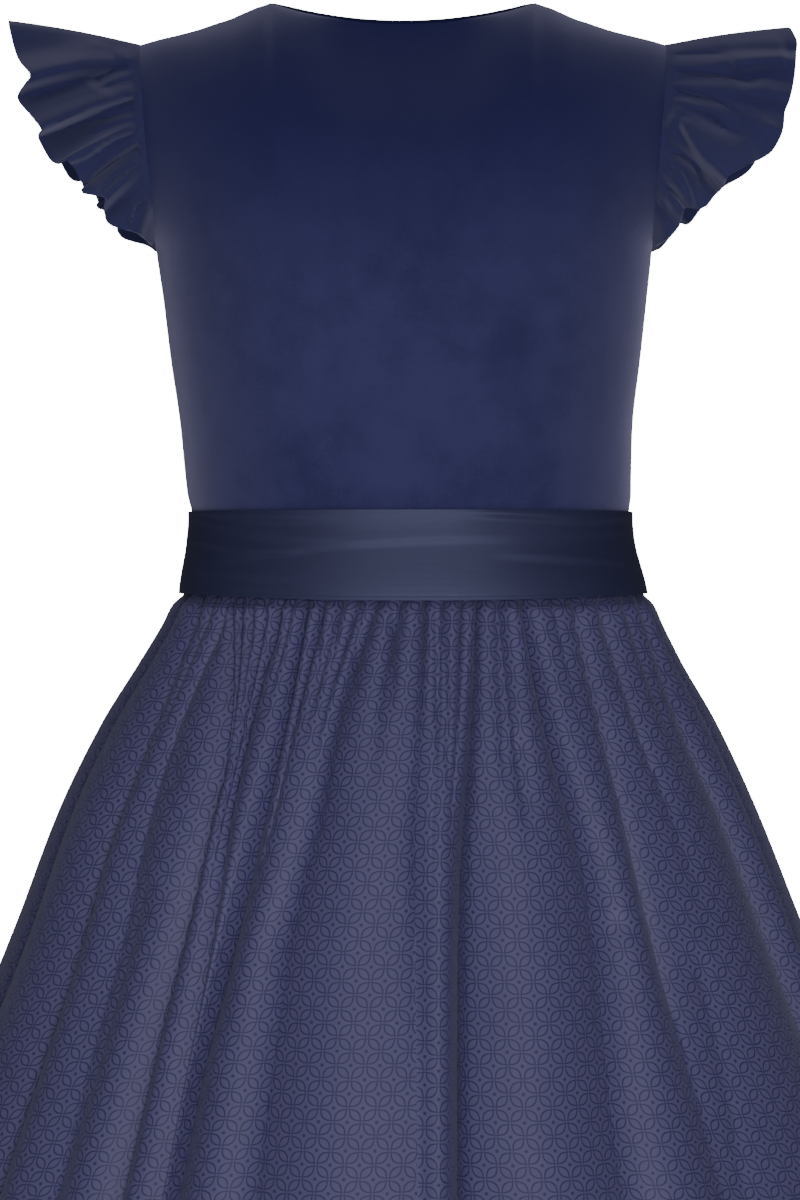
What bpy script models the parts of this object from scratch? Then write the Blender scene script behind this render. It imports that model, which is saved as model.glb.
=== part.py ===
"""Girl's dirndl, filled out as it is worn: velvet bodice with gathered flutter sleeves, satin sash and
apron, gathered jacquard skirt.

Metres, +Z up. The front faces -Y and the wearer's left side +X. The origin lies midway between the
shoulders, at the height where they carry the bodice. Every piece of cloth is a closed wall between an
outer and an inner grid of points, and sewn pieces stand a seam's gap apart.
"""

import bisect
import collections
import math

import bpy

# Cloth, in metres
VELVET = 0.0016
JACQUARD = 0.0015
SATIN = 0.0011
SEAM = 0.0003  # gap between two pieces that are sewn together

# Heights of the bodice
NECK_Z = 0.0095  # where the neck edge meets the shoulder seam
SHOULDER_TIP_Z = -0.0105
UNDERARM_Z = -0.1074
WAIST_Z = -0.2668
WAIST_RISE = 0.0033  # how much higher the waist lies at the sides than at the centre

# Neck edge
NECK_HALF = 0.0629
BACK_NECK_DROP = 0.0076
BACK_NECK_DEPTH = 0.045
FRONT_NECK_DROP = 0.058
FRONT_NECK_DEPTH = 0.071
BINDING_HIGH = 0.0024
BINDING_WIDE = 0.0022
BINDING_SIDES = 8

# Armholes and shoulders
SHOULDER_HALF = 0.1254
ARMHOLE_DEPTH = 0.034  # how far the armhole reaches to the back and to the front of the shoulder line
ARMHOLE_TURN = math.radians(28)  # how far short of the side the panel stops beside the armhole
ARMHOLE_QUICK = 0.35  # part of the armhole's height in which it gets there
SHOULDER_ROUND = 0.060  # depth below the shoulder seam in which the cloth turns over it
BODY_SQUARE = 2.3  # 2 is an ellipse, more is squarer

# Sections of the filled-out bodice, from the shoulders to below the waist
Section = collections.namedtuple("Section", "z half_width lean back front")
BODY = [
    Section(0.0020, 0.1254, 0.0019, 0.0620, 0.0600),
    Section(-0.0105, 0.1254, 0.0019, 0.0720, 0.0680),
    Section(-0.0320, 0.1235, 0.0018, 0.0815, 0.0760),
    Section(-0.0556, 0.1217, 0.0018, 0.0865, 0.0815),
    Section(-0.0793, 0.1195, 0.0017, 0.0880, 0.0855),
    Section(-0.1074, 0.1176, 0.0014, 0.0875, 0.0885),
    Section(-0.1311, 0.1147, 0.0009, 0.0860, 0.0890),
    Section(-0.1596, 0.1114, 0.0007, 0.0840, 0.0870),
    Section(-0.1881, 0.1076, 0.0003, 0.0818, 0.0842),
    Section(-0.2166, 0.1057, -0.0007, 0.0805, 0.0822),
    Section(-0.2250, 0.1051, -0.0012, 0.0800, 0.0818),
    Section(-0.2318, 0.1038, -0.0016, 0.0790, 0.0808),
    Section(-0.2475, 0.1050, -0.0018, 0.0800, 0.0818),
    Section(-0.2668, 0.1092, -0.0028, 0.0832, 0.0850),
    Section(-0.2770, 0.1100, -0.0033, 0.0842, 0.0860),
]
NECK_COLUMNS = 6  # from the centre to the neck point
SHOULDER_COLUMNS = 4  # from the neck point to the armhole
UPPER_ROWS = 8  # from the underarm to the shoulder, even steps round the armhole

# Sash
SASH_TOP_Z = -0.2318
SASH_BOTTOM_Z = -0.2738
SASH_CLEAR = 0.0006  # from the bodice to the sash
SASH_ROWS = 2

# Sections of the skirt along its ridges, from the waist seam to the hem
SKIRT = [
    Section(-0.2671, 0.1086, -0.0028, 0.0826, 0.0844),
    Section(-0.2738, 0.1090, -0.0031, 0.0834, 0.0852),
    Section(-0.2785, 0.1140, -0.0029, 0.0885, 0.0900),
    Section(-0.2890, 0.1192, -0.0026, 0.0940, 0.0955),
    Section(-0.3080, 0.1299, -0.0016, 0.1030, 0.1045),
    Section(-0.3350, 0.1462, -0.0010, 0.1165, 0.1180),
    Section(-0.3750, 0.1655, -0.0005, 0.1330, 0.1345),
    Section(-0.4300, 0.1871, -0.0010, 0.1530, 0.1545),
    Section(-0.5000, 0.2161, -0.0012, 0.1790, 0.1805),
    Section(-0.5750, 0.2459, -0.0012, 0.2063, 0.2078),
    Section(-0.6400, 0.2693, -0.0012, 0.2280, 0.2295),
    Section(-0.6690, 0.2788, -0.0012, 0.2370, 0.2385),
]

# Long folds of half the skirt, from the wearer's left to the right: the angle of the fold at the waist, part
# of the way down and at the hem, its depth, and how many small gathers lie between it and the next fold
Fold = collections.namedtuple("Fold", "waist middle hem depth gathers")
FOLDS = [
    Fold(80.0, 81.0, 80.0, 0.005, 0),
    Fold(69.0, 71.5, 62.0, 0.009, 1),
    Fold(59.5, 55.3, 54.5, 0.005, 0),
    Fold(53.5, 43.5, 47.0, 0.009, 3),
    Fold(34.4, 34.0, 38.0, 0.004, 1),
    Fold(25.5, 26.0, 32.5, 0.010, 3),
    Fold(7.2, 16.5, 20.0, 0.007, 1),
    Fold(-1.2, -1.0, 5.0, 0.004, 2),
    Fold(-15.5, -8.0, -5.7, 0.013, 1),
    Fold(-26.6, -27.7, -25.3, 0.009, 1),
    Fold(-42.0, -41.0, -43.0, 0.007, 2),
    Fold(-65.8, -66.0, -64.7, 0.009, 0),
    Fold(-80.0, -81.0, -80.0, 0.005, 0),
]
FOLD_MIDDLE = 0.4  # where on the skirt's length the middle angle is read
GATHER_DEPTH = 0.0032  # of the small gathers, just under the sash
GATHER_TIGHT = 0.0011  # and under it
GATHER_REACH = 0.38  # part of the length where the small gathers have run out
COLUMNS_PER_GATHER = 2

# Apron, on the front of the skirt: the small gathers where it begins and ends, counted as FOLDS lists them
APRON_FIRST = 6.5
APRON_LAST = 23.0
APRON_CLEAR = 0.0008  # from the skirt to the apron
APRON_DROP = 0.0004  # from the sash's lower edge to the apron's top

# Sleeves: each row is a rib of the back half, from the shoulder to the underarm. Seam is its place on the
# armhole, from 0 to 1. Out, up and stand say where its free end lies from there: away from the body, up,
# and off the armhole's plane. The front half repeats the ribs, FRONT_SHARE as wide.
Rib = collections.namedtuple("Rib", "seam out up stand")
SLEEVE_LEFT = [
    Rib(0.000, 0.0620, 0.0116, 0.000),
    Rib(0.035, 0.0570, -0.0030, 0.004),
    Rib(0.080, 0.0490, -0.0110, 0.022),
    Rib(0.150, 0.0567, -0.0130, 0.004),
    Rib(0.210, 0.0504, -0.0169, 0.011),
    Rib(0.265, 0.0453, -0.0189, 0.019),
    Rib(0.330, 0.0475, -0.0157, 0.004),
    Rib(0.395, 0.0394, -0.0218, 0.011),
    Rib(0.440, 0.0336, -0.0171, 0.017),
    Rib(0.510, 0.0280, -0.0215, 0.005),
    Rib(0.570, 0.0235, -0.0195, 0.011),
    Rib(0.620, 0.0183, -0.0166, 0.015),
    Rib(0.690, 0.0200, -0.0158, 0.004),
    Rib(0.740, 0.0175, -0.0169, 0.009),
    Rib(0.790, 0.0095, -0.0150, 0.013),
    Rib(0.860, 0.0060, -0.0106, 0.006),
    Rib(0.930, 0.0040, -0.0070, 0.005),
]
SLEEVE_RIGHT = [
    Rib(0.000, 0.0579, 0.0084, 0.000),
    Rib(0.040, 0.0604, 0.0039, 0.005),
    Rib(0.085, 0.0602, 0.0024, 0.003),
    Rib(0.145, 0.0595, 0.0023, 0.012),
    Rib(0.195, 0.0591, -0.0016, 0.006),
    Rib(0.240, 0.0571, -0.0062, 0.013),
    Rib(0.280, 0.0551, -0.0087, 0.008),
    Rib(0.320, 0.0536, -0.0142, 0.014),
    Rib(0.350, 0.0484, -0.0213, 0.010),
    Rib(0.390, 0.0415, -0.0248, 0.018),
    Rib(0.440, 0.0288, -0.0248, 0.022),
    Rib(0.500, 0.0277, -0.0224, 0.007),
    Rib(0.560, 0.0241, -0.0209, 0.013),
    Rib(0.620, 0.0194, -0.0211, 0.015),
    Rib(0.680, 0.0125, -0.0144, 0.006),
    Rib(0.740, 0.0111, -0.0110, 0.012),
    Rib(0.810, 0.0097, -0.0103, 0.006),
    Rib(0.880, 0.0060, -0.0086, 0.009),
    Rib(0.940, 0.0040, -0.0060, 0.005),
]
FRONT_SHARE = 0.94
RIB_BOW = 0.0042  # how far a rib arches up between its ends
SLEEVE_GATHERS = 13  # small gathers along each half of the armhole
SLEEVE_GATHER_DEPTH = 0.0010
SLEEVE_GATHER_REACH = 0.75  # part of the sleeve's width where they have run out
SLEEVE_STEPS = 3  # columns a gather
SLEEVE_ROWS = 4
SLEEVE_CLOTH = 0.0013


def mix(a, b, share):
    return a + (b - a) * share


def smooth(share):
    share = min(max(share, 0.0), 1.0)
    return share * share * (3 - 2 * share)


def read(table, at):
    """A row of the table at any place in its first column, on a smooth curve through all the rows."""
    rows = sorted(table)
    at = min(max(at, rows[0][0]), rows[-1][0])
    place = bisect.bisect_right([row[0] for row in rows], at)
    place = min(max(place, 1), len(rows) - 1)
    low, high = rows[place - 1], rows[place]
    before, after = rows[max(place - 2, 0)], rows[min(place + 1, len(rows) - 1)]
    span = high[0] - low[0]
    t = (at - low[0]) / span
    values = [at]
    for column in range(1, len(low)):
        slope_low = (high[column] - before[column]) / (high[0] - before[0])
        slope_high = (after[column] - low[column]) / (after[0] - low[0])
        values.append(
            (2 * t**3 - 3 * t**2 + 1) * low[column]
            + (t**3 - 2 * t**2 + t) * span * slope_low
            + (3 * t**2 - 2 * t**3) * high[column]
            + (t**3 - t**2) * span * slope_high
        )
    return type(table[0])(*values)


def rounded(angle, half_width, depth, square):
    """Point of a rounded section, from the middle of the back (angle 0) by the side (90 degrees)."""
    sine, cosine = math.sin(angle), math.cos(angle)
    x = math.copysign(abs(sine) ** (2 / square), sine) * half_width
    y = math.copysign(abs(cosine) ** (2 / square), cosine) * depth
    return x, y


def apart(value):
    """Keeps a length half a seam's gap away from the plane in which two pieces meet."""
    return max(value, SEAM / 2)


def waist_rise(angle):
    return WAIST_RISE * math.sin(angle) ** 2


# ---------------------------------------------------------------- bodice


def body_point(angle, z, out):
    """Point this far outside the bodice, at an angle from the centre back towards the wearer's left."""
    section = read(BODY, z)
    depth = section.back if math.cos(angle) > 0 else section.front
    x, y = rounded(angle, section.half_width + out, depth + out, BODY_SQUARE)
    return section.lean + x, math.copysign(apart(abs(y)), math.cos(angle)), z


def neck_edge(face, x):
    """Height and depth of the neck edge over a place across it. face is 1 on the back, -1 on the front."""
    bend = math.sqrt(max(1 - (x / NECK_HALF) ** 2, 0))
    if face > 0:
        return NECK_Z - BACK_NECK_DROP * bend**1.8, BACK_NECK_DEPTH * bend
    return NECK_Z - FRONT_NECK_DROP * bend, FRONT_NECK_DEPTH * bend


def top_edge(face, x):
    """Height and depth of the panel's upper edge: below the binding at the neck, then the shoulder seam."""
    sewn = BINDING_HIGH + SEAM
    if abs(x) <= NECK_HALF:
        z, y = neck_edge(face, x)
        return z - sewn, y
    share = (abs(x) - NECK_HALF) / (SHOULDER_HALF - NECK_HALF)
    return mix(NECK_Z - sewn, SHOULDER_TIP_Z, share**0.85), 0.0


def bodice_point(face, across, height, inset):
    """Point on a bodice panel. face is 1 on the back and -1 on the front. across runs from -1 at the
    wearer's right edge to 1 at the left, and height from 0 at the waist, by 1 at the underarm, to 2 at the
    neck and the shoulders."""
    if height <= 1:
        angle = across * math.pi / 2
        z = mix(WAIST_Z + waist_rise(angle), UNDERARM_Z, height)
        if face < 0:
            angle = math.pi - angle
        return body_point(angle, z, -inset)

    rise = height - 1
    edge = read(BODY, mix(UNDERARM_Z, SHOULDER_TIP_Z, rise))
    edge_y = ARMHOLE_DEPTH * math.sqrt(max(1 - (2 * rise - 1) ** 2, 0))
    full = math.pi / 2 - ARMHOLE_TURN * math.sqrt(min(rise / ARMHOLE_QUICK, 1))
    x_share, y_share = rounded(across * full, 1, 1, BODY_SQUARE)
    x_edge, y_edge = rounded(full, 1, 1, BODY_SQUARE)
    x = edge.half_width * x_share / x_edge

    top_z, top_y = top_edge(face, x)
    z = mix(UNDERARM_Z, top_z, rise)
    section = read(BODY, z)
    depth = (section.back if face > 0 else section.front) - inset
    y = edge_y + (depth - edge_y) * (y_share - y_edge) / (1 - y_edge)

    # Near the top the cloth bends from the body to the edge: round over a shoulder, straighter at the neck
    below = min(max((top_z - z) / SHOULDER_ROUND, 0), 1)
    neck = 1 - smooth((abs(x) / NECK_HALF - 0.75) / 0.35)
    over_shoulder = 1 - math.sqrt(1 - (1 - below) ** 2)
    turn = mix(over_shoulder, (1 - below) ** 1.7, neck)
    neck_y = top_y - inset * top_y / BACK_NECK_DEPTH
    y = mix(y, mix(edge_y, 0, neck) + neck_y, turn)
    z -= inset * turn * (1 - neck)
    x *= 1 - inset / edge.half_width
    return edge.lean + x, face * apart(y), z


def neck_turns():
    """Turns round a quarter of the neck, from its centre to the neck point."""
    return [math.pi / 2 * i / NECK_COLUMNS for i in range(NECK_COLUMNS + 1)]


def half_columns():
    """Places across half a panel: one at each turn of the neck, and then along the shoulder."""
    full = math.pi / 2 - ARMHOLE_TURN
    x_edge, _ = rounded(full, 1, 1, BODY_SQUARE)
    places = []
    for turn in neck_turns():
        share = NECK_HALF * math.sin(turn) / SHOULDER_HALF
        places.append(math.asin((share * x_edge) ** (BODY_SQUARE / 2)) / full)
    return places + [mix(places[-1], 1, (i + 1) / SHOULDER_COLUMNS) for i in range(SHOULDER_COLUMNS)]


def both_sides(half):
    """Places from the wearer's right edge to the left."""
    return [-place for place in reversed(half[1:])] + half


def bodice_heights():
    """Heights of a panel's rows: one at each section up to the underarm, then even turns of the armhole."""
    lower = [(row.z - WAIST_Z) / (UNDERARM_Z - WAIST_Z) for row in reversed(BODY)]
    upper = [1.5 - math.cos(math.pi * i / UPPER_ROWS) / 2 for i in range(1, UPPER_ROWS + 1)]
    return [height for height in lower if -1e-9 <= height <= 1 + 1e-9] + upper


def bodice_panel(name, face, places, material):
    def grid(inset):
        rows = []
        for height in bodice_heights():
            row = [bodice_point(face, across, height, inset) for across in places]
            rows.append(row)
        return rows

    return wall(name, grid(0), grid(VELVET), material)


def front_panel(name, side, material):
    """Half of the front, its inner edge half a seam from the centre."""
    centre = SEAM / 2

    def grid(inset):
        rows = []
        for height in bodice_heights():
            row = []
            for across in half_columns():
                x, y, z = bodice_point(-1, side * across, height, inset)
                row.append((side * max(side * x, centre), y, z))
            rows.append(row)
        return rows

    return wall(name, grid(0), grid(VELVET), material)


def neck_binding(name, face, turns, material):
    """Rolled edge along the neck through these turns: 90 degrees is the wearer's left neck point."""
    centre_front = turns[0] * turns[-1] == 0
    rings = []
    for turn in turns:
        x = NECK_HALF * math.sin(turn)
        z, y = neck_edge(face, x)
        out_x, out_y = math.sin(turn) * BACK_NECK_DEPTH, math.cos(turn) * NECK_HALF
        length = math.hypot(out_x, out_y)
        ring = []
        for side in range(BINDING_SIDES):
            around = 2 * math.pi * (side + 0.5) / BINDING_SIDES
            out = math.cos(around) * BINDING_WIDE / 2 - VELVET / 2
            point_x = x + out * out_x / length
            if centre_front:
                point_x = math.copysign(apart(abs(point_x)), turns[0] + turns[-1])
            point_y = apart(y + out * out_y / length)
            lift = (math.sin(around) - 1) * BINDING_HIGH / 2
            ring.append((BODY[0].lean + point_x, face * point_y, z + lift))
        rings.append(ring)
    return tube(name, rings, material)


# ---------------------------------------------------------------- sash


def sash(name, face, material):
    """Half of the ribbon round the waist, on the bodice's own columns."""
    places = both_sides(half_columns())

    def grid(out):
        rows = []
        for step in range(SASH_ROWS + 1):
            row = []
            for across in places:
                angle = across * math.pi / 2
                z = mix(SASH_BOTTOM_Z + waist_rise(angle), SASH_TOP_Z, step / SASH_ROWS)
                row.append(body_point(angle if face > 0 else math.pi - angle, z, out))
            rows.append(row)
        return rows

    return wall(name, grid(SASH_CLEAR + SATIN), grid(SASH_CLEAR), material)


# ---------------------------------------------------------------- skirt and apron


def valleys():
    """All gathers of half the skirt: their three angles, and the long folds' coordinate at each. One more
    gather of the other half lies past each end."""
    first, last = FOLDS[0], FOLDS[-1]
    turned_last = first._replace(waist=first.waist - 180, middle=first.middle - 180, hem=first.hem - 180)
    turned_first = last._replace(waist=last.waist + 180, middle=last.middle + 180, hem=last.hem + 180)
    rows = [turned_first._replace(gathers=0)] + FOLDS[:-1] + [last._replace(gathers=0), turned_last]
    found = []
    for number, (fold, following) in enumerate(zip(rows, rows[1:])):
        for gather in range(fold.gathers + 1):
            share = gather / (fold.gathers + 1)
            angles = [math.radians(mix(fold[i], following[i], share)) for i in range(3)]
            found.append((angles, number - 1 + share))
    found.append(([math.radians(turned_last[i]) for i in range(3)], len(FOLDS)))
    return found


VALLEYS = valleys()


def skirt_angle(place, down):
    """Angle of a gather, counted from 0 at the first one of this half, at a share of the skirt's length."""
    low = min(max(math.floor(place) + 1, 0), len(VALLEYS) - 2)
    share = place + 1 - low

    def at(angles):
        waist, middle, hem = angles
        bend = (middle - mix(waist, hem, FOLD_MIDDLE)) / (FOLD_MIDDLE * (1 - FOLD_MIDDLE))
        return mix(waist, hem, down) + bend * down * (1 - down)

    return mix(at(VALLEYS[low][0]), at(VALLEYS[low + 1][0]), share)


def fold_depth(place, down):
    """How far the skirt lies inside its ridges: small gathers near the waist, long folds below."""
    low = min(max(math.floor(place) + 1, 0), len(VALLEYS) - 2)
    along = mix(VALLEYS[low][1], VALLEYS[low + 1][1], place + 1 - low)
    fold = min(max(math.floor(along), 0), len(FOLDS) - 2)
    depth = mix(FOLDS[fold].depth, FOLDS[fold + 1].depth, min(max(along - fold, 0), 1))
    long_fold = depth * (1 - abs(math.sin(math.pi * along)) ** 0.8) * smooth(down / 0.45)
    released = smooth(down / 0.05)
    size = mix(GATHER_TIGHT, GATHER_DEPTH, released) * (1 - smooth(down / GATHER_REACH))
    return long_fold + size * (1 - abs(math.sin(math.pi * place)))


def skirt_point(half, place, z, out):
    """Point on the skirt's back (half 1) or front (half -1, which is the back turned half round)."""
    down = (SKIRT[0].z - z) / (SKIRT[0].z - SKIRT[-1].z)
    angle = skirt_angle(place, down)
    section = read(SKIRT, z)
    depth = section.back if half > 0 else section.front
    x, y = half * section.half_width * math.sin(angle), depth * abs(math.cos(angle))
    radius = math.hypot(x, y)
    scale = 1 + (out - fold_depth(place, down)) / radius
    rise = waist_rise(angle) * (1 - down)
    return section.lean + x * scale, half * apart(y * scale), z + rise


def skirt_places(first, last):
    steps = round((last - first) * COLUMNS_PER_GATHER)
    return [mix(first, last, i / steps) for i in range(steps + 1)]


def skirt_panel(name, half, material):
    places = skirt_places(-0.5, len(VALLEYS) - 2.5)

    def grid(out):
        return [[skirt_point(half, place, row.z, out) for place in places] for row in SKIRT]

    return wall(name, grid(0), grid(-JACQUARD), material)


def apron_panel(name, material):
    """Panel on the skirt's front, made from the skirt's own points moved out."""
    places = skirt_places(APRON_FIRST, APRON_LAST)
    heights = [SASH_BOTTOM_Z - APRON_DROP] + [row.z for row in SKIRT[2:-1]]

    def grid(out):
        return [[skirt_point(-1, place, z, out) for place in places] for z in heights]

    return wall(name, grid(APRON_CLEAR + SATIN), grid(APRON_CLEAR), material)


# ---------------------------------------------------------------- sleeves


def sleeve_point(ribs, side, along, share):
    """Point on a flutter sleeve. side is 1 for the wearer's left. along runs from -1 at the back underarm,
    by 0 at the shoulder, to 1 at the front underarm, and share from 0 at the seam to 1 at the free edge."""
    face = -1 if along > 0 else 1
    seam = abs(along) * ribs[-1].seam
    rib = read(ribs, seam)
    x, y, z = bodice_point(face, side, 2 - seam, 0)
    y = face * (abs(y) - SEAM / 2)

    wide = 1 if face > 0 else mix(1, FRONT_SHARE, smooth(seam / 0.1))
    ripple = 1 - abs(math.sin(math.pi * SLEEVE_GATHERS * abs(along)))
    gathered = smooth(share / 0.12) * (1 - smooth(share / SLEEVE_GATHER_REACH))
    height = rib.stand * math.sin(share * math.pi / 2) - SLEEVE_GATHER_DEPTH * ripple * gathered
    out = SEAM + VELVET / 2 + rib.out * wide * share
    up = rib.up * share + 4 * RIB_BOW * share * (1 - share)
    return x + side * out, y + face * height, z + up


def sleeve(name, ribs, side, material):
    steps = SLEEVE_GATHERS * SLEEVE_STEPS
    places = [i / steps for i in range(-steps, steps + 1)]
    middle = [
        [sleeve_point(ribs, side, along, row / SLEEVE_ROWS) for along in places] for row in range(SLEEVE_ROWS + 1)
    ]
    outer, inner = thickened(middle, SLEEVE_CLOTH)
    return wall(name, outer, inner, material)


def thickened(middle, thickness):
    """Two grids, half the thickness off each side of a grid, square to it."""
    rows, columns = len(middle), len(middle[0])
    sides = ([], [])
    for i in range(rows):
        for grid in sides:
            grid.append([])
        for j in range(columns):
            down = [
                b - a for a, b in zip(middle[max(i - 1, 0)][j], middle[min(i + 1, rows - 1)][j])
            ]
            across = [
                b - a for a, b in zip(middle[i][max(j - 1, 0)], middle[i][min(j + 1, columns - 1)])
            ]
            normal = (
                across[1] * down[2] - across[2] * down[1],
                across[2] * down[0] - across[0] * down[2],
                across[0] * down[1] - across[1] * down[0],
            )
            if i == 0:
                normal = (0.0, normal[1], normal[2])
            size = math.hypot(*normal)
            for grid, half in zip(sides, (thickness / 2, -thickness / 2)):
                grid[i].append(tuple(p + n / size * half for p, n in zip(middle[i][j], normal)))
    return sides


# ---------------------------------------------------------------- building


def add_object(name, points, faces, material):
    mesh = bpy.data.meshes.new(name)
    mesh.from_pydata(points, [], faces)
    mesh.materials.append(material)
    mesh.shade_smooth()
    mesh.set_sharp_from_angle(angle=math.radians(50))
    piece = bpy.data.objects.new(name, mesh)
    bpy.context.scene.collection.objects.link(piece)
    return piece


def signed_volume(points, faces):
    total = 0.0
    for face in faces:
        a = points[face[0]]
        for second, third in zip(face[1:], face[2:]):
            b, c = points[second], points[third]
            total += (
                a[0] * (b[1] * c[2] - b[2] * c[1])
                + a[1] * (b[2] * c[0] - b[0] * c[2])
                + a[2] * (b[0] * c[1] - b[1] * c[0])
            )
    return total / 6


def facing_out(points, faces):
    if signed_volume(points, faces) < 0:
        return [tuple(reversed(face)) for face in faces]
    return faces


def wall(name, outer, inner, material):
    """Closed wall between two grids of points, with a rim round its four edges. Both grids are split along
    the same diagonals, so that a piece made from another's points moved out stays parallel to it."""
    rows, columns = len(outer), len(outer[0])
    points = [point for grid in (outer, inner) for row in grid for point in row]
    under = rows * columns

    def at(i, j):
        return i * columns + j

    faces = []
    for i in range(rows - 1):
        for j in range(columns - 1):
            a, b, c, d = at(i, j), at(i, j + 1), at(i + 1, j + 1), at(i + 1, j)
            for face in ((a, b, c), (a, c, d)):
                faces.append(face)
                faces.append(tuple(under + corner for corner in reversed(face)))
    edge = [at(0, j) for j in range(columns)] + [at(i, columns - 1) for i in range(1, rows)]
    edge += [at(rows - 1, j) for j in range(columns - 2, -1, -1)] + [at(i, 0) for i in range(rows - 2, 0, -1)]
    for a, b in zip(edge, edge[1:] + edge[:1]):
        faces.append((b, a, under + a, under + b))
    return add_object(name, points, facing_out(points, faces), material)


def tube(name, rings, material):
    """Closed tube through rings of points."""
    sides = len(rings[0])
    points = [point for ring in rings for point in ring]
    faces = [tuple(range(sides)), tuple(reversed(range(len(points) - sides, len(points))))]
    for i in range(len(rings) - 1):
        for j in range(sides):
            low, high = i * sides + j, i * sides + (j + 1) % sides
            faces.append((high, low, low + sides, high + sides))
    return add_object(name, points, facing_out(points, faces), material)


def cloth_material(name, color, roughness):
    material = bpy.data.materials.new(name)
    material.use_nodes = True
    shader = material.node_tree.nodes["Principled BSDF"]
    shader.inputs["Base Color"].default_value = (*color, 1)
    shader.inputs["Roughness"].default_value = roughness
    shader.inputs["Metallic"].default_value = 0
    return material


def clear_scene():
    for piece in list(bpy.data.objects):
        bpy.data.objects.remove(piece)


def main():
    clear_scene()
    velvet = cloth_material("velvet", (0.026, 0.032, 0.084), 0.85)
    satin = cloth_material("satin", (0.016, 0.021, 0.052), 0.42)
    jacquard = cloth_material("jacquard", (0.063, 0.065, 0.138), 0.65)

    bodice_panel("bodice_back", 1, both_sides(half_columns()), velvet)
    front_panel("bodice_front_left", 1, velvet)
    front_panel("bodice_front_right", -1, velvet)

    turns = neck_turns()
    neck_binding("neck_binding_back", 1, both_sides(turns), velvet)
    neck_binding("neck_binding_front_left", -1, turns, velvet)
    neck_binding("neck_binding_front_right", -1, [-turn for turn in turns], velvet)

    sleeve("sleeve_left", SLEEVE_LEFT, 1, velvet)
    sleeve("sleeve_right", SLEEVE_RIGHT, -1, velvet)

    sash("sash_back", 1, satin)
    sash("sash_front", -1, satin)

    skirt_panel("skirt_back", 1, jacquard)
    skirt_panel("skirt_front", -1, jacquard)
    apron_panel("apron", satin)


main()
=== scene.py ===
"""Girl's dirndl seen from behind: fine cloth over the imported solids, with materials, lights and camera.

Metres, +Z up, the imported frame's axes: the front faces -Y and the wearer's left side +X. Every piece of
cloth is a closed wall between an outer and an inner grid of points. Most sizes are those of the solids. The
back neck edge, the armholes, the shoulders, the sleeves' ribs and the skirt's folds and gathers follow the
photograph more closely than the solids do, and the smaller creases are added here.
"""

import collections
import math

import bpy
import numpy as np
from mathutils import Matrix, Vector

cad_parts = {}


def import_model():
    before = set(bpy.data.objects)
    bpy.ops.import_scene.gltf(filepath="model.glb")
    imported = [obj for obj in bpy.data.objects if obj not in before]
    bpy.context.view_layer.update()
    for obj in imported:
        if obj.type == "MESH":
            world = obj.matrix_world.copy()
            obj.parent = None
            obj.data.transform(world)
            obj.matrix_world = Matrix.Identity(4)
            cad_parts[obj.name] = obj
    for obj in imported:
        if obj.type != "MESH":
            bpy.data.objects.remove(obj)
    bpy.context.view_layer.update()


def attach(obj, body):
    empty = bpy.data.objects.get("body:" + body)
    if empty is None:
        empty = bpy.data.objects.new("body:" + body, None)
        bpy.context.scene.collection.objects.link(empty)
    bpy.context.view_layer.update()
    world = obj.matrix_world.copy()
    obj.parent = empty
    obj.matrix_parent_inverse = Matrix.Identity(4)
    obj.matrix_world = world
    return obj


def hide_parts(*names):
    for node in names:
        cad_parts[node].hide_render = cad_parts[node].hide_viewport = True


# Thickness of the cloths, and the gap between two pieces that are sewn together
VELVET = 0.0016
JACQUARD = 0.0015
SATIN = 0.0011
SEAM = 0.0003

# Heights of the bodice
NECK_Z = 0.0095
SHOULDER_TIP_Z = -0.0105
UNDERARM_Z = -0.1074
WAIST_Z = -0.2668
WAIST_RISE = 0.0033

# Neck edge
NECK_HALF = 0.0629
BACK_NECK_DROP = 0.0128
BACK_NECK_DEPTH = 0.052
BACK_NECK_BEND = 1.8  # more keeps the drop closer to the middle of the back
FRONT_NECK_DROP = 0.058
FRONT_NECK_DEPTH = 0.071
BINDING_HIGH = 0.0024
BINDING_WIDE = 0.0022
BINDING_RISE = 1.6  # how quickly the roll reaches its full height
BINDING_LEAST = 0.12  # part of the height that it keeps at the shoulders
BINDING_SUNK = 0.55  # part of the height by which the panel ends below the neck edge
BINDING_SIDES = 16
BINDING_RINGS = 97
NECK_FULL = 0.35  # the neck shapes the top of the bodice fully up to this part of its half width
NECK_FADE = 0.90  # and runs out over this part of it
NECK_CURVE = 1.7  # more brings the cloth out to the full body sooner below the neck edge

# Armholes and shoulders
SHOULDER_HALF = 0.1254
ARMHOLE_DEPTH = 0.046  # how far the armhole reaches to the back and to the front of the shoulder line
SHOULDER_ROUND = 0.072  # depth below the shoulder seam in which the cloth turns over it
BODY_SQUARE = 2.3  # 2 is an ellipse, more is squarer

# How far the shoulder has dropped, from the neck (0) to its tip (1)
Shoulder = collections.namedtuple("Shoulder", "share drop")
SHOULDER_LINE = [
    Shoulder(0.00, 0.00),
    Shoulder(0.10, 0.10),
    Shoulder(0.20, 0.24),
    Shoulder(0.30, 0.38),
    Shoulder(0.40, 0.48),
    Shoulder(0.55, 0.64),
    Shoulder(0.70, 0.76),
    Shoulder(0.85, 0.87),
    Shoulder(1.00, 1.00),
]

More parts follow.
